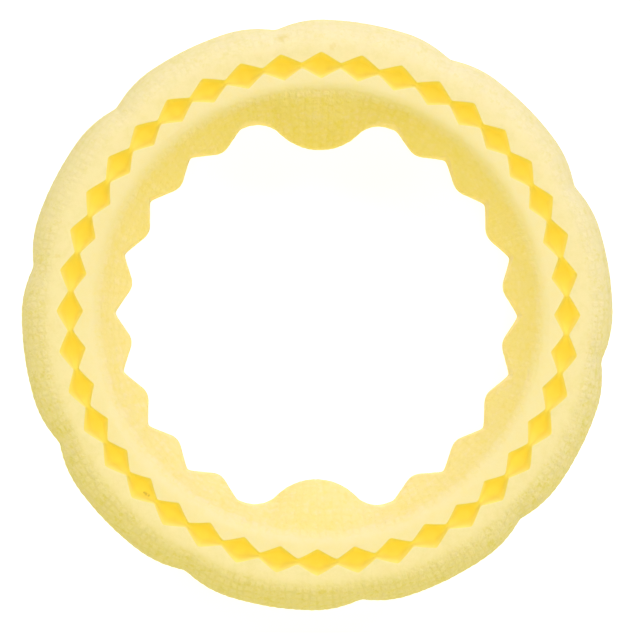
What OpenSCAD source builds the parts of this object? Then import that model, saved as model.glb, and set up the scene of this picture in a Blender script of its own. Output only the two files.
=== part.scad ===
// Flying ring: two soft foam bands, each side of a zig-zag groove, locked on to a firmer core.
// The ring lies flat on z = 0, with its two grip bulges on the +Y and -Y sides of the hole.

/* [Ring] */
// Outside diameter over the lobes
ring_d = 170; // [160:1:180]
// Thickness from face to face
ring_h = 26; // [25:0.5:30]
// Radius of the rounded outer edge
edge_r = 10; // [9:0.5:11]
// Width of the flat top, from its inner edge to the rounded outer edge
crown_w = 8.5; // [8.5:0.1:10]

/* [Outer lobes] */
// Number of lobes around the rim
lobe_count = 10; // [8:1:12]
// Depth of the notch between two lobes
notch_depth = 2.4; // [1:0.1:3]
// Radius of a lobe's shoulder as it falls into the notch
shoulder_r = 30; // [20:1:34]

/* [Inner edge] */
// Radial distance from the rim to the tips of the teeth
tooth_reach = 30.7; // [30:0.1:31.2]
// Number of teeth on each side, between the two bulges
teeth_a_side = 8; // [6:1:9]
// Radius of a tooth's rounded tip
tooth_tip_r = 4.6; // [3:0.1:5]
// Angle between a tooth's flank and the ring's tangent
flank_angle = 27.5; // [24:0.5:30]
// Slope of the inner wall, from the horizontal
wall_angle = 49; // [45:1:51]
// Radius of the soft edge between the flat top and the inner wall
inner_edge_r = 6; // [4:0.5:7]

/* [Grip bulges] */
// Radial distance from the rim to the tip of a bulge
bulge_reach = 37.4; // [36:0.1:38.5]
// Radius of a bulge's rounded tip
bulge_tip_r = 16; // [14:0.5:17]
// Radius of the hollow on each side of a bulge
bulge_fillet_r = 9; // [8:0.5:10]
// Arc of the inner edge that a bulge takes up
bulge_arc = 45; // [44:1:48]
// Depth below the face of a bulge's back edge, where it runs in under the flat top
bulge_sink = 0.4; // [0.4:0.1:1.5]

/* [Zig-zag groove] */
// Number of diamonds in the groove
diamond_count = 40; // [32:2:40]
// Width of a diamond, across the groove
diamond_w = 7.7; // [7:0.1:8.4]
// Width of the slit where two diamonds meet
slit_w = 1.5; // [1:0.1:2]
// Depth of the groove below each face
groove_depth = 3; // [2:0.5:6]

/* [Core] */
// Thickness of the flange that reaches into both bands
flange_h = 4; // [3:0.5:5]
// Reach of the flange each side of the groove's centre line
flange_reach = 7; // [6.5:0.1:7.2]
// Radius of the round bead along each edge of the flange
bead_r = 3; // [2.5:0.1:3.2]

/* [Hidden] */
$fn = 96;
lap = 1;
crossing = 0.05;
least_h = 0.5;
rim_r = ring_d / 2;
mid_z = ring_h / 2;
crown_out_r = rim_r - edge_r;
crown_in_r = crown_out_r - crown_w;
groove_r = (crown_out_r + crown_in_r) / 2;
wall_slope = tan(wall_angle);

// Inner wall: it leaves the soft edge as a tangent and runs down to the nose of the teeth.
tooth_r = rim_r - tooth_reach;
wall_top_r = crown_in_r - inner_edge_r * sin(wall_angle);
wall_top_z = ring_h - inner_edge_r * (1 - cos(wall_angle));
nose_h = wall_top_z - mid_z - (wall_top_r - tooth_r) * wall_slope;
hole_r = rim_r - bulge_reach - lap;

// Teeth: the flanks of two neighbours meet in a sharp valley.
tooth_pitch = (180 - bulge_arc) / teeth_a_side;
tip_centre_y = tooth_r + tooth_tip_r;
flank_y = tip_centre_y - tooth_tip_r / cos(flank_angle);
valley_r = flank_y / (cos(tooth_pitch / 2) - sin(tooth_pitch / 2) * tan(flank_angle));
tip_steps = 5;

// Bulge: a tip circle, with a hollow on each side that runs out into the valley circle.
bulge_r = rim_r - bulge_reach;
bulge_centre_y = bulge_r + bulge_tip_r;
bulge_back_inset = 1.5;
bulge_back_y = crown_in_r - bulge_back_inset;
bulge_back_h = mid_z - bulge_sink;
bulge_slope = (bulge_back_h - nose_h) / (bulge_back_y - bulge_r);
hollow_centre_r = valley_r - bulge_fillet_r;
hollow_angle = acos((hollow_centre_r ^ 2 + bulge_centre_y ^ 2 - (bulge_tip_r + bulge_fillet_r) ^ 2)
    / (2 * hollow_centre_r * bulge_centre_y));
hollow = polar(hollow_centre_r, 90 - hollow_angle);
hollow_turn = atan2(bulge_centre_y - hollow.y, -hollow.x);
bulge_steps = 10;

// Notch: two shoulder circles cross at the bottom of it.
shoulder_centre_r = rim_r - shoulder_r + crossing;
notch_r = rim_r - notch_depth;
shoulder_angle = acos((notch_r ^ 2 + shoulder_centre_r ^ 2 - shoulder_r ^ 2)
    / (2 * notch_r * shoulder_centre_r));
notch_start = 27;

function polar(r, a) = [r * cos(a), r * sin(a)];

function turned(p, a) = [p.x * cos(a) - p.y * sin(a), p.x * sin(a) + p.y * cos(a)];

function arc(centre, r, from, to, steps) = [
    for (i = [0 : steps]) centre + polar(r, from + (to - from) * i / steps)
];

// The zig-zag line: it swings by far at each diamond, and by near at each slit.
function zigzag(near, far) = [
    for (i = [0 : 2 * diamond_count - 1])
        polar(groove_r + (i % 2 == 0 ? far : near), 90 + i * 180 / diamond_count)
];

// One tooth that points at the centre from +Y, and the valley after it
tooth_line = [
    each arc([0, tip_centre_y], tooth_tip_r, flank_angle - 90, -flank_angle - 90, tip_steps),
    polar(valley_r, 90 + tooth_pitch / 2)
];

// The bulge on +Y, from the valley before it to the valley after it
bulge_line = [
    polar(valley_r, 90 - bulge_arc / 2),
    each arc(hollow, bulge_fillet_r, 90 - hollow_angle, hollow_turn, bulge_steps),
    each arc([0, bulge_centre_y], bulge_tip_r, hollow_turn - 180, -hollow_turn, bulge_steps),
    each arc([-hollow.x, hollow.y], bulge_fillet_r, 180 - hollow_turn, 90 + hollow_angle, bulge_steps),
    polar(valley_r, 90 + bulge_arc / 2)
];

// The edge of the hole, all the way round
hole_line = [
    for (side = [0, 180]) each [
        for (p = bulge_line) turned(p, side),
        for (i = [0 : teeth_a_side - 1], p = tooth_line)
            turned(p, side + bulge_arc / 2 + tooth_pitch * (i + 0.5))
    ]
];

module zigzag_outside() {
    polygon(zigzag(slit_w / 2, diamond_w / 2));
}

module zigzag_inside() {
    polygon(zigzag(-slit_w / 2, -diamond_w / 2));
}

// Section of the whole ring, as it would be with no groove, notch or tooth
module ring_section() {
    translate([crown_in_r, 0]) square([crown_w, ring_h]);
    translate([crown_out_r - lap, edge_r]) square([edge_r + lap, ring_h - 2 * edge_r]);
    for (z = [edge_r, ring_h - edge_r]) translate([crown_out_r, z]) circle(edge_r);
    for (z = [inner_edge_r, ring_h - inner_edge_r]) translate([crown_in_r, z]) circle(inner_edge_r);
    inner_wall_section();
}

module inner_wall_section() {
    foot_h = nose_h - (tooth_r - hole_r) * wall_slope;
    half = max(foot_h, least_h);
    start_r = tooth_r - (nose_h - half) / wall_slope;
    top_h = wall_top_z - mid_z;
    polygon([
        [start_r, mid_z - half],
        [wall_top_r, mid_z - top_h],
        [crown_in_r + lap, mid_z - top_h],
        [crown_in_r + lap, mid_z + top_h],
        [wall_top_r, mid_z + top_h],
        [start_r, mid_z + half]
    ]);
}

module ring_lathe() {
    rotate_extrude() ring_section();
}

// A plan shape drawn out past both faces, to cut with
module through() {
    translate([0, 0, -lap]) linear_extrude(ring_h + 2 * lap) children();
}

// What is cut away between two lobes
module notch_plan() {
    difference() {
        polygon([
            polar(shoulder_centre_r, -shoulder_angle),
            polar(rim_r + lap, -shoulder_angle),
            [rim_r + 2 * lap, 0],
            polar(rim_r + lap, shoulder_angle),
            polar(shoulder_centre_r, shoulder_angle)
        ]);
        for (side = [-1, 1]) rotate(side * shoulder_angle) translate([shoulder_centre_r, 0])
            circle(shoulder_r);
    }
}

// The bulge seen from above, with a back edge under the flat top
module bulge_plan() {
    polygon([
        for (i = [1 : len(bulge_line) - 2]) bulge_line[i],
        [-bulge_line[1].x, bulge_back_y + lap],
        [bulge_line[1].x, bulge_back_y + lap]
    ]);
}

// Side view of a bulge: a wedge that rises from its nose towards the flat top
module bulge_profile() {
    front_h = nose_h - lap * bulge_slope;
    polygon([
        [bulge_r - lap, mid_z - front_h],
        [bulge_back_y, mid_z - bulge_back_h],
        [bulge_back_y, mid_z + bulge_back_h],
        [bulge_r - lap, mid_z + front_h]
    ]);
}

module bulge() {
    intersection() {
        through() bulge_plan();
        rotate([90, 0, 90]) linear_extrude(4 * bulge_tip_r, center = true) bulge_profile();
    }
}

// The flange and its two beads, at half height
module flange() {
    rotate_extrude() {
        translate([groove_r - flange_reach, mid_z - flange_h / 2])
            square([2 * flange_reach, flange_h]);
        for (side = [-1, 1]) translate([groove_r + side * flange_reach, mid_z]) circle(bead_r);
    }
}

module outer_band() {
    color([0.98, 0.93, 0.69]) difference() {
        ring_lathe();
        through() zigzag_outside();
        for (i = [0 : lobe_count - 1]) rotate(notch_start + i * 360 / lobe_count)
            through() notch_plan();
        flange();
    }
}

module inner_band() {
    color([0.99, 0.91, 0.62]) difference() {
        union() {
            difference() {
                ring_lathe();
                through() polygon(hole_line);
            }
            for (side = [0, 180]) rotate(side) bulge();
        }
        through() difference() {
            circle(rim_r + 2 * lap);
            zigzag_inside();
        }
        flange();
    }
}

module core_ring() {
    color([0.99, 0.82, 0.15]) union() {
        translate([0, 0, groove_depth]) linear_extrude(ring_h - 2 * groove_depth) difference() {
            zigzag_outside();
            zigzag_inside();
        }
        flange();
    }
}

outer_band();
inner_band();
core_ring();
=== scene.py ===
"""Looks of the flying ring: two pale foam bands and the core between them, whose groove is painted a deeper
yellow with depth, partly the core's own colour and partly painted shade.

Every section of the ring is worked out in millimetres from the CAD frame's own sizes, then turned
into one closed grid a piece, with the moulded canvas grain as real relief.
"""

import math

import bpy
import numpy as np
from mathutils import Matrix, Vector


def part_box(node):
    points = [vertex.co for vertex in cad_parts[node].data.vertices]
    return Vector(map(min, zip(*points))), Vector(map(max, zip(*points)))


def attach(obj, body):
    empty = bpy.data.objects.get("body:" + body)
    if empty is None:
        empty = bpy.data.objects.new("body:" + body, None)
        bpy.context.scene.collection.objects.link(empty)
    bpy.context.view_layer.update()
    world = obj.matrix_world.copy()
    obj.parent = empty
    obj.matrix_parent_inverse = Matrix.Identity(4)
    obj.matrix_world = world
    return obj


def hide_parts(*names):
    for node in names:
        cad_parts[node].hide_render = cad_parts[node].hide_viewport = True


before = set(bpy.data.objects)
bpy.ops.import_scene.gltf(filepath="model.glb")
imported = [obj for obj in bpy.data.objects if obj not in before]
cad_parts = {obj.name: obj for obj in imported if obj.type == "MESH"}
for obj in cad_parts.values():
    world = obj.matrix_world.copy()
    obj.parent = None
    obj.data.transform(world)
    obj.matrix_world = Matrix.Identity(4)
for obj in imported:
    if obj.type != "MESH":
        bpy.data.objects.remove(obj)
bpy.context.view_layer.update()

# ---------------------------------------------------------------- sizes, in millimetres
MM = 0.001
RIM_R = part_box("outer_band")[1].x / MM
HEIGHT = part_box("outer_band")[1].z / MM
MID_Z = HEIGHT / 2

# Section of the ring
EDGE_R = 10.0
OUTER_START = 0.6  # how far past the crown the rows of the rounded side begin
INNER_START = 0.5
CROWN_OUT_R = RIM_R - EDGE_R
CROWN_IN_R = CROWN_OUT_R - 8.5
GROOVE_R = (CROWN_OUT_R + CROWN_IN_R) / 2
INNER_EDGE_R = 6.0
WALL_ANGLE = math.radians(49)

# Zig-zag groove
DIAMONDS = 40
DIAMOND_HALF = 3.65
SLIT_HALF = 0.45
CORE_SHARE = 0.5  # share of the groove's width that belongs to the core
GROOVE_DEPTH = 2.4
SLIT_DEPTH = 0.9
FLOOR_FLATNESS = 3  # the power of the bowl's curve: higher is flatter, with steeper sides
JOINT_STEP = 0.4  # step from the groove's floor down to the hidden joint
EDGE_SOFT = 0.3  # depth and width of the groove's softened edge
LIP_WIDTH = 0.42  # width of crown, beside the groove, that takes on the painted edge glow, a painted light
# where the groove's painted shade starts, at the groove's edge
LIP_SUNK = 0.3
CORNER_SOFT = 0.05

# Outer lobes
LOBES = 10
NOTCH_START = 27.0
NOTCH_DEPTH = 2.35
SHOULDER_R = 30.0
NOTCH_SOFT = 0.01

# Teeth and grip bulges
BULGE_ANGLE = 90.0
BULGE_ARC = 45.0
TEETH_A_SIDE = 8
TOOTH_PITCH = (180 - BULGE_ARC) / TEETH_A_SIDE
TOOTH_R = RIM_R - 30.7
TOOTH_TIP_R = 4.6
FLANK = math.tan(math.radians(27.5))
VALLEY_SOFT = 0.01
BULGE_R = RIM_R - 37.4
BULGE_TIP_R = 16.0
HOLLOW_R = 9.0
BULGE_CAMBER = 0.9
SKIRT_SOFT = 1.5
NOSE_SOFT_TOOTH = 1.5
NOSE_SOFT_BULGE = 2.5

# Core
FLANGE_HALF = 2.0
FLANGE_REACH = 7.0
BEAD_R = 3.0

# Grain: squares in columns round the ring and rows down its side
OUTER_COLUMNS = 224
INNER_COLUMNS = 152
GRAIN_ROWS = 64
GRAIN_PITCH = 2.3
GRAIN_DEPTH = 0.1
GRAIN_DRIFT = 0.16
DRIFT_WAVES = (19, 43, 71, 113)
DRIFT_LEAN = 1.6
SIDE_RELIEF = 0.6  # how much deeper the grain is on the upright side
SIDE_ROWS = (4.5, 6.5)
CELL_BASE = 0.25
CELL_SPREAD = 0.3
COLUMN_STREAK = 0.25
ROW_STREAK = 0.2
WAVINESS = 0.04
WAVES = (3, 5, 8, 13, 21, 34)
WAVE_LEAN = 0.2

# Strength of the grain, and where it fades: by the sine of the angle round the ring, by the degrees
# from a bulge's middle, and by the distance down from the crown
FAR_GRAIN, FAR_FADE = 0.4, (-0.6, 0.9)
NEAR_GRAIN, NEAR_FADE = 0.6, (-0.7, 0.7)
PLAIN_GRAIN, PLAIN_FADE = 0.6, (18, 30)
NOSE_GRAIN = 0.9
OUTER_FADE = (0.0, 4.0)
INNER_FADE = (0.5, 4.0)

# ---------------------------------------------------------------- how finely each piece is divided
OUTER_TURN = DIAMONDS * 26
INNER_TURN = DIAMONDS * 24
TOOTH_STEPS = 44
WALL_STEPS = 4
EDGE_PLACES = np.array([0.0, 0.08, 0.16, 0.28, 0.42])
CROWN_STEPS = 2
RIM_ROWS = 8
ROW_STEPS = 3
SLOPE_STEPS = 28
NOSE_STEPS = 3
BEAD_STEPS = 8
FLOOR_STEPS = 7
SHARP_ANGLE = math.radians(42)


# ---------------------------------------------------------------- outlines seen from above
def off_centre(theta, count, start):
    """Place from one feature to the next, from -1 to 1, with 0 on a feature."""
    turn = (theta - start) * count / 360
    return 2 * (turn - np.round(turn))


def zigzag(theta):
    """1 in the middle of a diamond and 0 at a slit, with slightly soft corners."""
    swing = 1 - np.abs(off_centre(theta, DIAMONDS, BULGE_ANGLE))
    swing = 1 - np.hypot(1 - swing, CORNER_SOFT)
    return np.hypot(swing, CORNER_SOFT)


def notch_depth(theta):
    """How far the rim falls back between two lobes: two shoulder arcs that cross."""
    centre_r = RIM_R - SHOULDER_R
    bottom_r = RIM_R - NOTCH_DEPTH
    shoulder = math.acos(
        (bottom_r**2 + centre_r**2 - SHOULDER_R**2) / (2 * bottom_r * centre_r)
    )
    away = np.hypot(off_centre(theta, LOBES, NOTCH_START) * math.pi / LOBES, NOTCH_SOFT)
    aside = np.clip(shoulder - away, 0, None)
    rim = centre_r * np.cos(aside) + np.sqrt(
        SHOULDER_R**2 - (centre_r * np.sin(aside)) ** 2
    )
    return RIM_R - rim


def near_side(centre_r, radius, aside):
    """Where a ray from the ring's centre enters a circle."""
    return centre_r * np.cos(aside) - np.sqrt(
        np.clip(radius**2 - (centre_r * np.sin(aside)) ** 2, 0, None)
    )


def far_side(centre_r, radius, aside):
    """Where a ray from the ring's centre leaves a circle."""
    return centre_r * np.cos(aside) + np.sqrt(
        np.clip(radius**2 - (centre_r * np.sin(aside)) ** 2, 0, None)
    )


def tooth_edge(aside):
    """Radius of the inner edge at an angle from a tooth's middle."""
    valley = math.radians(TOOTH_PITCH / 2)
    aside = np.abs(valley - np.hypot(valley - aside, VALLEY_SOFT))
    centre_r = TOOTH_R + TOOTH_TIP_R
    slope = math.atan(FLANK)
    flank_y = centre_r - TOOTH_TIP_R / math.cos(slope)
    tip_end = math.atan2(
        TOOTH_TIP_R * math.sin(slope), centre_r - TOOTH_TIP_R * math.cos(slope)
    )
    flank = flank_y / (np.cos(aside) - np.sin(aside) * FLANK)
    return np.where(aside < tip_end, near_side(centre_r, TOOTH_TIP_R, aside), flank)


VALLEY_R = float(tooth_edge(np.array([math.radians(TOOTH_PITCH / 2)]))[0])


def bulge_edge(aside):
    """Radius of the inner edge at an angle from a bulge's middle."""
    centre_r = BULGE_R + BULGE_TIP_R
    hollow_r = VALLEY_R - HOLLOW_R
    reach = BULGE_TIP_R + HOLLOW_R
    hollow_at = math.acos(
        (hollow_r**2 + centre_r**2 - reach**2) / (2 * hollow_r * centre_r)
    )
    share = BULGE_TIP_R / reach
    joint = math.atan2(
        share * hollow_r * math.sin(hollow_at),
        centre_r + share * (hollow_r * math.cos(hollow_at) - centre_r),
    )
    hollow = far_side(hollow_r, HOLLOW_R, hollow_at - aside)
    edge = np.where(aside < joint, near_side(centre_r, BULGE_TIP_R, aside), hollow)
    return np.where(aside > hollow_at, VALLEY_R, edge)


def inner_edge(theta):
    """Radius of the inner edge, and how much of it belongs to a bulge, from 0 to 1."""
    from_bulge = np.abs(off_centre(theta, 2, BULGE_ANGLE)) * 90
    from_first = from_bulge - BULGE_ARC / 2
    in_tooth = np.abs(np.mod(from_first, TOOTH_PITCH) - TOOTH_PITCH / 2)
    teeth = tooth_edge(np.radians(in_tooth))
    bulge = bulge_edge(np.radians(from_bulge))
    on_bulge = from_first < 0
    edge = np.where(on_bulge, bulge, teeth)
    depth = np.clip((TOOTH_R - bulge) / (TOOTH_R - BULGE_R), 0, 1)
    return edge, np.where(on_bulge, depth, 0)


def skirt(theta):
    """Radius that the inner wall runs down to: the teeth's tips, or the bulge's edge beyond them."""
    from_bulge = np.abs(off_centre(theta, 2, BULGE_ANGLE)) * 90
    bulge = bulge_edge(np.radians(np.minimum(from_bulge, BULGE_ARC / 2)))
    soft = (TOOTH_R + bulge - np.hypot(TOOTH_R - bulge, SKIRT_SOFT)) / 2
    return np.where(from_bulge < BULGE_ARC / 2, soft, TOOTH_R)


# ---------------------------------------------------------------- sections, as columns of places
def between(start, end, share):
    return start + (end - start) * share


def smooth(low, high, value):
    share = np.clip((value - low) / (high - low), 0, 1)
    return share * share * (3 - 2 * share)


def groove_width(theta):
    """Half width of the groove at the crown."""
    return between(SLIT_HALF, DIAMOND_HALF, zigzag(theta))


def groove_depth(theta, share):
    """Depth below the crown at a share of the half width, and a share of the full depth that sets how far the
    groove's colour is painted towards saturated shade.
    """
    full = between(SLIT_DEPTH, GROOVE_DEPTH, smooth(0, 0.8, zigzag(theta)))
    sunk = 1 - np.abs(share) ** FLOOR_FLATNESS
    deep = sunk * (full / GROOVE_DEPTH) ** 0.5
    return EDGE_SOFT + (full - EDGE_SOFT) * sunk, between(LIP_SUNK, 1, deep)


def edge_drop(away):
    """How far the softened edge of the groove lies below the crown."""
    return EDGE_SOFT * np.clip(1 - away / EDGE_SOFT, 0, 1) ** 2



class Section:
    """Columns of places round one section: offset from the axis, height, grain row, grain strength, depth."""

    def __init__(self, count):
        self.count = count
        self.r, self.z, self.row, self.grain, self.deep = [], [], [], [], []

    def add(self, r, z, row=0.0, grain=0.0, deep=0.0):
        for store, value in (
            (self.r, r),
            (self.z, z),
            (self.row, row),
            (self.grain, grain),
            (self.deep, deep),
        ):
            store.append(np.broadcast_to(value, self.count).astype(float))

    def arrays(self):
        return [
            np.stack(store, 1)
            for store in (self.r, self.z, self.row, self.grain, self.deep)
        ]


def add_wall(section, theta, side):
    """The groove's wall from its foot up to the softened edge."""
    top = groove_width(theta)
    for step in range(WALL_STEPS):
        share = between(CORE_SHARE, 1, math.sin(step / WALL_STEPS * math.pi / 2))
        depth, sunk = groove_depth(theta, share)
        section.add(GROOVE_R + side * share * top, HEIGHT - depth, deep=sunk)
    return top


def add_crown(section, top, side, end_r, drop):
    """The flat top from the groove's edge to where the section starts to round off."""
    edge = GROOVE_R + side * top
    for away in EDGE_PLACES:
        r = edge + side * away
        fall = edge_drop(away)
        # The crown beside the groove takes a share of the painted edge glow.
        sunk = LIP_SUNK * (1 - away / LIP_WIDTH)
        section.add(r, HEIGHT - fall - drop(r), deep=sunk)
    start = edge + side * EDGE_PLACES[-1]
    for step in range(1, CROWN_STEPS + 1):
        r = between(start, end_r, step / (CROWN_STEPS + 1))
        section.add(r, HEIGHT - drop(r))


def outer_half(theta):
    """Upper half of the outer band's section, from the groove's foot to half height."""
    half = Section(len(theta))
    back = notch_depth(theta)
    strength = between(1, FAR_GRAIN, smooth(*FAR_FADE, np.sin(np.radians(theta))))
    begin = math.asin(OUTER_START / EDGE_R)

    def drop(r):
        out = np.clip(r - CROWN_OUT_R, 0, None)
        return EDGE_R - np.sqrt(EDGE_R**2 - out**2)

    top = add_wall(half, theta, 1)
    add_crown(half, top, 1, CROWN_OUT_R + EDGE_R * math.sin(begin), drop)
    flat = MID_Z - EDGE_R
    arc = EDGE_R * (math.pi / 2 - begin)
    steps = RIM_ROWS * ROW_STEPS
    for step in range(steps + 1):
        s = (arc + flat) * step / steps
        a = min(begin + s / EDGE_R, math.pi / 2)
        r = CROWN_OUT_R + (EDGE_R - back) * math.sin(a)
        z = HEIGHT - EDGE_R * (1 - math.cos(a)) - max(s - arc, 0)
        half.add(r, z, row=step / ROW_STEPS, grain=strength * smooth(*OUTER_FADE, s))
    return half


def inner_half(theta):
    """Upper half of the inner band's section, from the groove's foot to half height."""
    half = Section(len(theta))
    edge, bulge = inner_edge(theta)
    from_bulge = np.abs(off_centre(theta, 2, BULGE_ANGLE)) * 90
    on_bulge = between(NEAR_GRAIN, 1, smooth(*NEAR_FADE, np.sin(np.radians(theta))))
    strength = between(on_bulge, PLAIN_GRAIN, smooth(*PLAIN_FADE, from_bulge))
    nose_z = (
        HEIGHT
        - INNER_EDGE_R * (1 - math.cos(WALL_ANGLE))
        - (CROWN_IN_R - INNER_EDGE_R * math.sin(WALL_ANGLE) - TOOTH_R)
        * math.tan(WALL_ANGLE)
    )
    across, up = CROWN_IN_R - skirt(theta), HEIGHT - INNER_EDGE_R - nose_z
    slope = np.arctan2(up, across) + np.arcsin(INNER_EDGE_R / np.hypot(across, up))
    begin = math.asin(INNER_START / INNER_EDGE_R)

    def drop(r):
        out = np.clip(CROWN_IN_R - r, 0, None)
        return INNER_EDGE_R - np.sqrt(INNER_EDGE_R**2 - out**2)

    top = add_wall(half, theta, -1)
    add_crown(half, top, -1, CROWN_IN_R - INNER_EDGE_R * math.sin(begin), drop)

    # The wall leaves the soft edge as a tangent and meets the nose in a rounded corner.
    leave_r = CROWN_IN_R - INNER_EDGE_R * np.sin(slope)
    leave_z = HEIGHT - INNER_EDGE_R * (1 - np.cos(slope))
    corner_z = leave_z - (leave_r - edge) * np.tan(slope)
    soft = between(NOSE_SOFT_TOOTH, NOSE_SOFT_BULGE, bulge)
    cut = soft * np.tan((math.pi / 2 - slope) / 2)
    line = (leave_r - edge) / np.cos(slope) - cut
    arc = INNER_EDGE_R * (slope - begin)
    for step in range(SLOPE_STEPS + 1):
        s = (arc + line) * step / SLOPE_STEPS
        a = np.minimum(begin + s / INNER_EDGE_R, slope)
        run = np.clip(s - arc, 0, None)
        camber = BULGE_CAMBER * bulge * 4 * (run / line) * (1 - run / line)
        r = CROWN_IN_R - INNER_EDGE_R * np.sin(a) - run * np.cos(slope)
        z = HEIGHT - INNER_EDGE_R * (1 - np.cos(a)) - run * np.sin(slope)
        r, z = r - camber * np.sin(slope), z + camber * np.cos(slope)
        half.add(r, z, row=s / GRAIN_PITCH, grain=strength * smooth(*INNER_FADE, s))
    length = arc + line
    turn = math.pi / 2 - slope
    nose_grain = strength * NOSE_GRAIN
    for step in range(1, NOSE_STEPS + 1):
        a = math.pi / 2 + slope + turn * step / NOSE_STEPS
        r = edge + soft * (1 + np.cos(a))
        z = corner_z - cut + soft * np.sin(a)
        s = length + soft * turn * step / NOSE_STEPS
        half.add(r, z, row=s / GRAIN_PITCH, grain=nose_grain)
    fall = corner_z - cut - MID_Z
    for step in range(1, NOSE_STEPS + 1):
        s = length + soft * turn + fall * step / NOSE_STEPS
        z = corner_z - cut - fall * step / NOSE_STEPS
        half.add(edge, z, row=s / GRAIN_PITCH, grain=nose_grain)
    return half


def bead_line():
    """Places round a bead, as seen from the groove's centre line: reach and height above half height."""
    open_angle = math.asin(FLANGE_HALF / BEAD_R)
    turns = np.linspace(math.pi - open_angle, open_angle - math.pi, BEAD_STEPS)
    return [
        (FLANGE_REACH + BEAD_R * math.cos(a), BEAD_R * math.sin(a)) for a in turns
    ]


def add_joint(section, theta, side, upward):
    """The hidden face between a band and the core: down the core's flank, round the bead and back."""
    flank = CORE_SHARE * groove_width(theta) + JOINT_STEP
    shoulder = MID_Z - groove_depth(theta, CORE_SHARE)[0] - JOINT_STEP
    line = [(flank, shoulder), (flank, FLANGE_HALF)]
    line += bead_line()
    line += [(flank, -FLANGE_HALF), (flank, -shoulder)]
    for reach, up in reversed(line) if upward else line:
        section.add(GROOVE_R + side * reach, MID_Z + up)


def whole_band(half, theta, side):
    """A band's whole section: upper half, its mirror image, then the hidden face against the core."""
    upper = half.arrays()
    lower = [store[:, -2::-1] for store in upper]
    lower[1] = HEIGHT - lower[1]
    joint = Section(len(theta))
    add_joint(joint, theta, side, upward=True)
    return [
        np.concatenate(parts, 1)
        for parts in zip(upper, lower, joint.arrays(), strict=True)
    ]


def core_section(theta):
    """The core's section: upper floor, outer flange, lower floor, inner flange."""
    section = Section(len(theta))
    top = groove_width(theta)

    def floor(upper):
        direction = 1 if upper else -1
        for share in np.linspace(-CORE_SHARE, CORE_SHARE, FLOOR_STEPS):
            depth, sunk = groove_depth(theta, share)
            section.add(
                GROOVE_R + direction * share * top,
                HEIGHT - depth if upper else depth,
                deep=sunk,
            )

    floor(True)
    add_joint(section, theta, 1, upward=False)
    floor(False)
    add_joint(section, theta, -1, upward=True)
    return section.arrays()


# ---------------------------------------------------------------- relief
def pillow(phase):
    """Height of one square of the grain: nearly flat on top, with a narrow channel at each side."""
    return 1 - np.abs(np.cos(np.pi * phase)) ** 4


def drift(theta, row, seed):
    """How far the grain's lines wander from their even places, in squares."""
    rng = np.random.default_rng(seed)
    angle = np.radians(theta)
    total = np.zeros_like(row)
    for waves in DRIFT_WAVES:
        phase, lean = rng.uniform(0, 2 * math.pi), rng.uniform(-DRIFT_LEAN, DRIFT_LEAN)
        total += np.sin(waves * angle + lean * row + phase)
    return GRAIN_DRIFT * total / 2


def uneven_cells(columns, rows, rng):
    """A height for every square of the grain, in faint streaks along its columns and rows."""
    by_column = COLUMN_STREAK * rng.uniform(0, 1, (columns, 1))
    by_row = ROW_STREAK * rng.uniform(0, 1, (1, rows))
    return CELL_BASE + by_column + by_row + CELL_SPREAD * rng.uniform(0, 1, (columns, rows))


def unevenness(theta, z, seed, size):
    """Slow, slight waves in the foam's surface."""
    rng = np.random.default_rng(seed)
    angle = np.radians(theta)
    total = np.zeros_like(z)
    for waves in WAVES:
        phase, lean = rng.uniform(0, 2 * math.pi), rng.uniform(-WAVE_LEAN, WAVE_LEAN)
        total += np.sin(waves * angle + lean * (z - MID_Z) + phase) / math.sqrt(waves)
    return size * total


def surface_normals(points):
    around = np.roll(points, -1, 0) - np.roll(points, 1, 0)
    along = np.roll(points, -1, 1) - np.roll(points, 1, 1)
    normal = np.cross(around, along)
    return normal / np.linalg.norm(normal, axis=2, keepdims=True)


def signed_volume(points, faces):
    a, b, c, d = (points[faces[:, i]] for i in range(4))
    return (np.cross(a, b) * c).sum() + (np.cross(a, c) * d).sum()


def grid_faces(turns, along):
    corner = np.arange(turns * along).reshape(turns, along)
    ahead = np.roll(corner, -1, 0)
    quad = (corner, ahead, np.roll(ahead, -1, 1), np.roll(corner, -1, 1))
    return np.stack(quad, -1).reshape(-1, 4)


def store_attribute(mesh, name, kind, values):
    attribute = mesh.attributes.new(name, kind, "POINT")
    field = "vector" if kind == "FLOAT_VECTOR" else "value"
    attribute.data.foreach_set(field, np.ascontiguousarray(values, np.float32).ravel())


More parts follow.
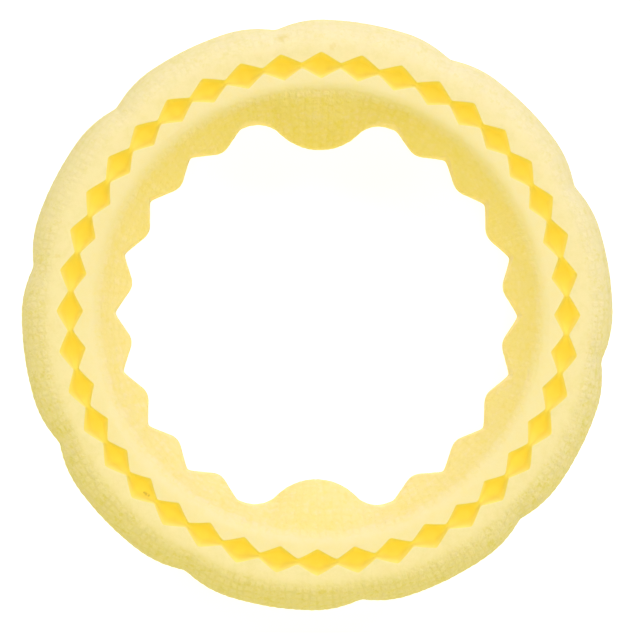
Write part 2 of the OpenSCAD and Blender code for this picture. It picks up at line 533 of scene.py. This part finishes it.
def ring_piece(name, theta, section, columns, seed, waviness):
    """One closed ring-shaped piece from its section columns at every angle."""
    r, z, row, grain, deep = section
    angle = np.radians(theta)
    points = np.stack([r * np.cos(angle), r * np.sin(angle), z], -1)
    normal = surface_normals(points)
    faces = grid_faces(*r.shape)
    if signed_volume(points.reshape(-1, 3), faces) < 0:
        faces = faces[:, ::-1]
        normal = -normal
    rng = np.random.default_rng(seed)
    column = np.arange(r.shape[0])[:, None] * columns / r.shape[0]
    column = column + drift(theta, row, seed + 1)
    row = np.clip(row + drift(theta, row, seed + 2), 0, None) * (row > 0)
    cells = uneven_cells(columns, GRAIN_ROWS, rng)
    height = cells[np.floor(column).astype(int) % columns, np.floor(row).astype(int)]
    depth = GRAIN_DEPTH * (1 + SIDE_RELIEF * smooth(*SIDE_ROWS, row))
    relief = depth * grain * height * pillow(column) * pillow(row)
    relief += unevenness(theta, z, seed, waviness) * (grain > 0)
    points = points + normal * relief[..., None]

    mesh = bpy.data.meshes.new(name)
    mesh.from_pydata((points.reshape(-1, 3) * MM).tolist(), [], faces.tolist())
    mesh.update()
    mesh.polygons.foreach_set("use_smooth", np.ones(len(mesh.polygons), bool))
    mesh.set_sharp_from_angle(angle=SHARP_ANGLE)
    turn = 2 * np.pi * column
    pattern = np.stack([np.cos(turn), np.sin(turn), row], -1)
    store_attribute(mesh, "weave", "FLOAT_VECTOR", pattern.reshape(-1, 3))
    store_attribute(mesh, "grain", "FLOAT", grain)
    store_attribute(mesh, "cell", "FLOAT", height)
    # The depth share that sets the groove's painted light and shade.
    store_attribute(mesh, "deep", "FLOAT", deep)
    piece = bpy.data.objects.new(name, mesh)
    bpy.context.scene.collection.objects.link(piece)
    return piece


# ---------------------------------------------------------------- materials
CROWN_COLOUR = (0.915, 0.78, 0.415, 1)
# The walls' colours, deeper than the crown's, are partly the grained skin's tone and partly painted shade
# where light grazes the steep sides.
OUTER_WALL_COLOUR = (0.8, 0.68, 0.23, 1)
INNER_WALL_COLOUR = (0.915, 0.745, 0.255, 1)
# Painted light and shade in the groove: the edge glow stands in for light soaked through the foam at the
# groove's edge, the groove shade for the saturation of light bounced round the groove.
PAINTED_EDGE_GLOW = (0.985, 0.785, 0.15, 1)
PAINTED_GROOVE_SHADE = (0.99, 0.715, 0.08, 1)
STAIN_COLOUR = (0.78, 0.6, 0.1, 1)
SPECK_COLOUR = (0.25, 0.14, 0.04, 1)

# Rows of grain over which the crown's colour turns into the wall's, whose deeper colour is partly painted
# shade
OUTER_RAMP = 7.0
INNER_RAMP = 2.7

# Small stains: degrees round, distance out, height, size and strength
STAINS = [(98.3, 79.7, 24.8, 2.6, 0.6), (87.5, 76.2, 25.8, 1.4, 0.27), (168.2, 75.8, 25.8, 1.0, 0.25)]
SPECKS = [(226.8, 71.0, HEIGHT - GROOVE_DEPTH, 1.1, 1.0)]
STAIN_RAGGED = 0.5

# Sizes of the noises, as repeats a metre
CLOUD = 45.0
PATCH = 160.0
CORE_MOTTLE = 300.0
MOTTLE = 330.0
BLOTCH = 500.0
FLECK = 650.0
CORE_PORES = 900.0
RASP = 1000.0
PORES = 1400.0

# Heights of the fine relief, in metres
CLOTH_BUMP = 0.00013
RASP_BUMP = 0.00014
PORE_BUMP = 0.00006
CORE_BUMP = 0.00005

# Light that soaks into the foam
SOAK = 0.12
SOAK_RADIUS = (1.0, 0.6, 0.2)
SOAK_SCALE = 0.003


class Nodes:
    """A short way to write node trees."""

    def __init__(self, name):
        self.material = bpy.data.materials.new(name)
        self.material.use_nodes = True
        self.tree = self.material.node_tree
        self.shader = self.tree.nodes["Principled BSDF"]

    def node(self, kind, **settings):
        made = self.tree.nodes.new(kind)
        for key, value in settings.items():
            setattr(made, key, value)
        return made

    def link(self, source, target):
        self.tree.links.new(source, target)

    def feed(self, value, socket):
        if isinstance(value, bpy.types.NodeSocket):
            self.link(value, socket)
        else:
            socket.default_value = value

    def math(self, operation, *values, clamp=False):
        made = self.node("ShaderNodeMath", operation=operation, use_clamp=clamp)
        for value, socket in zip(values, made.inputs, strict=False):
            self.feed(value, socket)
        return made.outputs[0]

    def range(self, value, low, high, new_low=0.0, new_high=1.0):
        made = self.node("ShaderNodeMapRange", interpolation_type="SMOOTHSTEP")
        for new, socket in zip(
            (value, low, high, new_low, new_high), made.inputs, strict=False
        ):
            self.feed(new, socket)
        return made.outputs[0]

    def mix(self, share, first, second):
        made = self.node("ShaderNodeMix", data_type="RGBA")
        self.feed(share, made.inputs["Factor"])
        for value, socket in ((first, made.inputs[6]), (second, made.inputs[7])):
            self.feed(value, socket)
        return made.outputs[2]

    def noise(self, scale, detail=2.0, roughness=0.5):
        made = self.node("ShaderNodeTexNoise")
        self.link(self.place(), made.inputs["Vector"])
        made.inputs["Scale"].default_value = scale
        made.inputs["Detail"].default_value = detail
        made.inputs["Roughness"].default_value = roughness
        return made.outputs[0]

    def place(self):
        made = self.tree.nodes.get("place") or self.node(
            "ShaderNodeTexCoord", name="place"
        )
        return made.outputs["Object"]

    def attribute(self, name, output="Fac"):
        return self.node(
            "ShaderNodeAttribute", attribute_type="GEOMETRY", attribute_name=name
        ).outputs[output]

    def bump(self, height, distance, strength=1.0, normal=None):
        made = self.node("ShaderNodeBump")
        self.feed(height, made.inputs["Height"])
        made.inputs["Distance"].default_value = distance
        made.inputs["Strength"].default_value = strength
        if normal is not None:
            self.link(normal, made.inputs["Normal"])
        return made.outputs[0]


def channel(nodes, phase):
    """1 on a square of the grain and 0 in the channel beside it."""
    swing = nodes.math(
        "ABSOLUTE", nodes.math("COSINE", nodes.math("MULTIPLY", phase, math.pi))
    )
    return nodes.range(swing, 1.0, 0.72)


def groove_shade_paint(nodes, surface, deep):
    """Pale at the groove's edge, with a painted glow at the lip, and painted shade that saturates it from a
    little way down, standing in for light bounced round the groove.
    """
    sunk = nodes.attribute("deep")
    lip = nodes.mix(nodes.range(sunk, 0.0, LIP_SUNK * 0.8), surface, PAINTED_EDGE_GLOW)
    return nodes.mix(nodes.range(sunk, LIP_SUNK, 1.0), lip, deep)


def marked(nodes, body, tint, marks):
    """Small stains, each with its place in degrees and millimetres, its size and its strength."""
    ragged = nodes.range(nodes.noise(BLOTCH), 0.3, 0.7, -STAIN_RAGGED * MM, STAIN_RAGGED * MM)
    for angle, r, z, size, strength in marks:
        spot = nodes.node("ShaderNodeVectorMath", operation="DISTANCE")
        nodes.link(nodes.place(), spot.inputs[0])
        turn = math.radians(angle)
        place = (r * MM * math.cos(turn), r * MM * math.sin(turn), z * MM)
        spot.inputs[1].default_value = place
        away = nodes.math("ADD", spot.outputs["Value"], ragged)
        share = nodes.range(away, size * MM, 0.2 * size * MM, 0.0, strength)
        body = nodes.mix(share, body, tint)
    return body


def soak(shader):
    """Lets light a little way into the foam."""
    shader.inputs["Subsurface Weight"].default_value = SOAK
    shader.inputs["Subsurface Radius"].default_value = SOAK_RADIUS
    shader.inputs["Subsurface Scale"].default_value = SOAK_SCALE


def foam_material(name, crown, wall, ramp, marks=()):
    """Matt moulded foam: pale on the crown, a little deeper on the grained walls, partly as painted shade,
    and saturated in the groove as painted shade.
    """
    nodes = Nodes(name)
    weave = nodes.node("ShaderNodeSeparateXYZ")
    nodes.link(nodes.attribute("weave", "Vector"), weave.inputs[0])
    turn = nodes.math("ARCTAN2", weave.outputs[1], weave.outputs[0])
    column = nodes.math("DIVIDE", turn, 2 * math.pi)
    grain = nodes.attribute("grain")
    square = nodes.math(
        "MULTIPLY", channel(nodes, column), channel(nodes, weave.outputs[2])
    )

    mottle = nodes.noise(MOTTLE, 4.0, 0.7)
    cloud = nodes.noise(CLOUD)
    full = (wall[0] * 0.97, wall[1] * 0.95, wall[2] * 0.5, 1)
    faint = (min(wall[0] * 1.03, 1), wall[1] * 1.03, wall[2] * 1.6, 1)
    # Painted shade for the grain's recessed channels.
    shade = (wall[0] * 0.92, wall[1] * 0.9, wall[2] * 0.55, 1)
    # The wall's deeper colour, partly painted shade, comes in down the side.
    body = nodes.mix(nodes.range(weave.outputs[2], 0.3, ramp), crown, wall)
    stain = nodes.math("MULTIPLY", nodes.range(mottle, 0.4, 0.7), 0.3)
    body = nodes.mix(stain, body, wall)
    body = nodes.mix(
        nodes.math("MULTIPLY", nodes.range(cloud, 0.4, 0.8), 0.15), body, crown
    )
    fleck = nodes.noise(FLECK, 2.0, 0.6)
    uneven = nodes.math("ADD", nodes.attribute("cell"), nodes.math("MULTIPLY", fleck, 2.0))
    for low, high, tint in ((1.55, 1.1, full), (1.65, 2.1, faint)):
        share = nodes.range(uneven, low, high, 0.0, 0.6)
        body = nodes.mix(nodes.math("MULTIPLY", share, grain), body, tint)
    # Painted shade in the grain's channels, in patches.
    patch = nodes.range(nodes.noise(PATCH), 0.35, 0.65, 0.1, 0.3)
    recess = nodes.math("MULTIPLY", nodes.math("SUBTRACT", 1.0, square), grain)
    body = nodes.mix(nodes.math("MULTIPLY", recess, patch), body, shade)
    body = marked(nodes, body, STAIN_COLOUR, marks)
    # Painted light and shade in the groove, by depth.
    colour = groove_shade_paint(nodes, body, PAINTED_GROOVE_SHADE)
    nodes.link(colour, nodes.shader.inputs["Base Color"])

    rough = nodes.range(mottle, 0.3, 0.8, 0.72, 0.9)
    nodes.link(rough, nodes.shader.inputs["Roughness"])
    nodes.shader.inputs["Specular IOR Level"].default_value = 0.3
    soak(nodes.shader)

    raised = nodes.math("MULTIPLY", square, nodes.attribute("cell"))
    cloth = nodes.bump(nodes.math("MULTIPLY", raised, grain), CLOTH_BUMP, 0.6)
    rasp = nodes.range(nodes.noise(RASP, 2.0, 0.6), 0.3, 0.7)
    rough_cloth = nodes.bump(nodes.math("MULTIPLY", rasp, grain), RASP_BUMP, 0.8, cloth)
    pores = nodes.bump(nodes.noise(PORES, 4.0, 0.65), PORE_BUMP, 0.6, rough_cloth)
    nodes.link(pores, nodes.shader.inputs["Normal"])
    return nodes.material


def core_material(name):
    """Smooth denser foam, its groove floor saturated yellow, partly its own colour and partly painted shade
    that deepens with depth.
    """
    nodes = Nodes(name)
    mottle = nodes.noise(CORE_MOTTLE, 3.0, 0.6)
    # Painted light and shade in the groove, by depth.
    colour = groove_shade_paint(nodes, CROWN_COLOUR, PAINTED_GROOVE_SHADE)
    colour = marked(nodes, colour, SPECK_COLOUR, SPECKS)
    nodes.link(colour, nodes.shader.inputs["Base Color"])
    rough = nodes.range(mottle, 0.3, 0.8, 0.6, 0.75)
    nodes.link(rough, nodes.shader.inputs["Roughness"])
    nodes.shader.inputs["Specular IOR Level"].default_value = 0.35
    soak(nodes.shader)
    pores = nodes.bump(nodes.noise(CORE_PORES, 3.0, 0.6), CORE_BUMP, 0.5)
    nodes.link(pores, nodes.shader.inputs["Normal"])
    return nodes.material


# ---------------------------------------------------------------- pieces
def even_turn(count):
    return np.arange(count) * 360 / count


def toothed_turn(count):
    """Angles that fall on every valley of the inner edge: so many steps to a tooth, the rest to the bulge."""
    side = TEETH_A_SIDE * TOOTH_STEPS
    bulge = count // 2 - side
    stops = [0, bulge / 2, bulge / 2 + side, bulge + side]
    angles = [0, BULGE_ARC / 2, 180 - BULGE_ARC / 2, 180]
    index = np.mod(np.arange(count) - count // 4, count)
    turn = np.interp(np.mod(index, count // 2), stops, angles)
    return np.mod(turn + 180 * (index // (count // 2)) + BULGE_ANGLE, 360)


def unwrapped(angle, near):
    """The same angle, taken on the turn nearest to another."""
    return near + (angle - near + 180) % 360 - 180


def shown(piece, node, material):
    piece.data.materials.append(material)
    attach(piece, "root")
    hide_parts(node)


def make_outer_band():
    theta = even_turn(OUTER_TURN)
    section = whole_band(outer_half(theta), theta, 1)
    grid = np.broadcast_to(theta[:, None], section[0].shape)
    piece = ring_piece("outer_band_foam", grid, section, OUTER_COLUMNS, 11, WAVINESS)
    foam = foam_material("outer_foam", CROWN_COLOUR, OUTER_WALL_COLOUR, OUTER_RAMP, STAINS)
    shown(piece, "outer_band", foam)


def make_inner_band():
    straight = even_turn(INNER_TURN)
    toothed = unwrapped(toothed_turn(INNER_TURN), straight)
    groove_part = whole_band(inner_half(straight), straight, -1)
    teeth_part = whole_band(inner_half(toothed), toothed, -1)
    lean = smooth(0.3, 3.5, np.abs(CROWN_IN_R + 1 - groove_part[0].mean(0)))
    inward = groove_part[0].mean(0) < CROWN_IN_R + 1
    share = np.where(inward, lean, 0)[None, :]
    grid = between(straight[:, None], toothed[:, None], share)
    section = [
        between(a, b, share) for a, b in zip(groove_part, teeth_part, strict=True)
    ]
    piece = ring_piece("inner_band_foam", grid, section, INNER_COLUMNS, 23, WAVINESS)
    foam = foam_material("inner_foam", CROWN_COLOUR, INNER_WALL_COLOUR, INNER_RAMP)
    shown(piece, "inner_band", foam)


def make_core():
    theta = even_turn(OUTER_TURN)
    section = core_section(theta)
    grid = np.broadcast_to(theta[:, None], section[0].shape)
    piece = ring_piece("core_ring_foam", grid, section, OUTER_COLUMNS, 31, 0.0)
    shown(piece, "core_ring", core_material("core_yellow_and_groove_shade"))


# ---------------------------------------------------------------- stage
RING_CENTRE = Vector((0, 0, MID_Z * MM))
CAMERA_DISTANCE = 0.8
CAMERA_TILT = math.radians(2.5)
TILT_TOWARDS = math.radians(216)
CAMERA_ROLL = math.radians(0.45)
FIELD_WIDTH = 0.18495
SENSOR = 36.0
LIGHT_DISTANCE = 1.8
SOFTBOX = 1.2
COOL = (0.97, 1.0, 1.62)
PLAIN = (1.0, 1.0, 1.3)
WARM = (1.0, 1.0, 0.53)
GOLDEN = (1.05, 1.0, 0.47)
GLOW = 0.02  # what the surroundings give the ring
BACKDROP = 0.9  # what the camera sees of them
FLOOR_HALF = 3.0
FLOOR_WHITE = (0.5, 0.5, 0.5, 1)
FLOOR_GLOW = 0.76

# Softboxes: name, azimuth and height in degrees, power in watts, colour
SOFTBOXES = [
    ("low_right", 45, 25, 13.3, COOL),
    ("low_middle", 90, 25, 6.5, COOL),
    ("low_left", 135, 25, 10.8, PLAIN),
    ("overhead", 270, 80, 9.5, WARM),
    ("front", 270, 55, 16.0, GOLDEN),
    ("right", 0, 25, 2.3, COOL),
    ("left", 180, 25, 1.4, WARM),
]


def make_camera():
    data = bpy.data.cameras.new("camera")
    data.sensor_width = SENSOR
    data.lens = SENSOR * CAMERA_DISTANCE / FIELD_WIDTH
    data.shift_x, data.shift_y = 0.0036, -0.0034
    camera = bpy.data.objects.new("camera", data)
    aside = Vector((math.cos(TILT_TOWARDS), math.sin(TILT_TOWARDS), 0))
    back = aside * math.sin(CAMERA_TILT) + Vector((0, 0, math.cos(CAMERA_TILT)))
    up = Vector((-math.sin(CAMERA_ROLL), math.cos(CAMERA_ROLL), 0))
    right = up.cross(back).normalized()
    up = back.cross(right).normalized()
    place = RING_CENTRE + back * CAMERA_DISTANCE
    axes = Matrix((right, up, back)).transposed().to_4x4()
    camera.matrix_world = Matrix.Translation(place) @ axes
    bpy.context.scene.collection.objects.link(camera)
    bpy.context.scene.camera = camera


def make_floor():
    half = FLOOR_HALF
    mesh = bpy.data.meshes.new("floor")
    corners = [(-half, -half, 0), (half, -half, 0), (half, half, 0), (-half, half, 0)]
    mesh.from_pydata(corners, [], [(0, 1, 2, 3)])
    floor = bpy.data.objects.new("floor", mesh)
    bpy.context.scene.collection.objects.link(floor)
    nodes = Nodes("floor_white")
    nodes.shader.inputs["Base Color"].default_value = FLOOR_WHITE
    nodes.shader.inputs["Roughness"].default_value = 0.9
    nodes.shader.inputs["Emission Color"].default_value = (1, 1, 1, 1)
    nodes.shader.inputs["Emission Strength"].default_value = FLOOR_GLOW
    mesh.materials.append(nodes.material)


def make_softbox(name, azimuth, height, power, colour):
    """A round softbox that looks at the ring from an azimuth and a height, in degrees."""
    data = bpy.data.lights.new(name, "AREA")
    data.shape = "DISK"
    data.size = SOFTBOX
    data.energy = power
    data.color = colour
    azimuth, height = math.radians(azimuth), math.radians(height)
    flat = math.cos(height)
    direction = Vector(
        (flat * math.cos(azimuth), flat * math.sin(azimuth), math.sin(height))
    )
    lamp = bpy.data.objects.new(name, data)
    lamp.location = RING_CENTRE + direction * LIGHT_DISTANCE
    lamp.rotation_euler = direction.to_track_quat("Z", "Y").to_euler()
    bpy.context.scene.collection.objects.link(lamp)


def make_light():
    """Softboxes low beyond the ring and high above it, in a studio with a faint glow all round.

    The camera sees the studio as a plain pale backdrop, which lights nothing.
    """
    world = bpy.data.worlds.new("studio")
    world.use_nodes = True
    tree = world.node_tree
    background = tree.nodes["Background"]
    background.inputs["Color"].default_value = (1, 1, 1, 1)
    path = tree.nodes.new("ShaderNodeLightPath")
    glow = tree.nodes.new("ShaderNodeMapRange")
    glow.inputs["To Min"].default_value = GLOW
    glow.inputs["To Max"].default_value = BACKDROP
    tree.links.new(path.outputs["Is Camera Ray"], glow.inputs["Value"])
    tree.links.new(glow.outputs[0], background.inputs["Strength"])
    bpy.context.scene.world = world
    for name, azimuth, height, power, colour in SOFTBOXES:
        make_softbox(name, azimuth, height, power, colour)
    bpy.context.scene.view_settings.view_transform = "Standard"


make_camera()
make_outer_band()
make_inner_band()
make_core()
make_floor()
make_light()
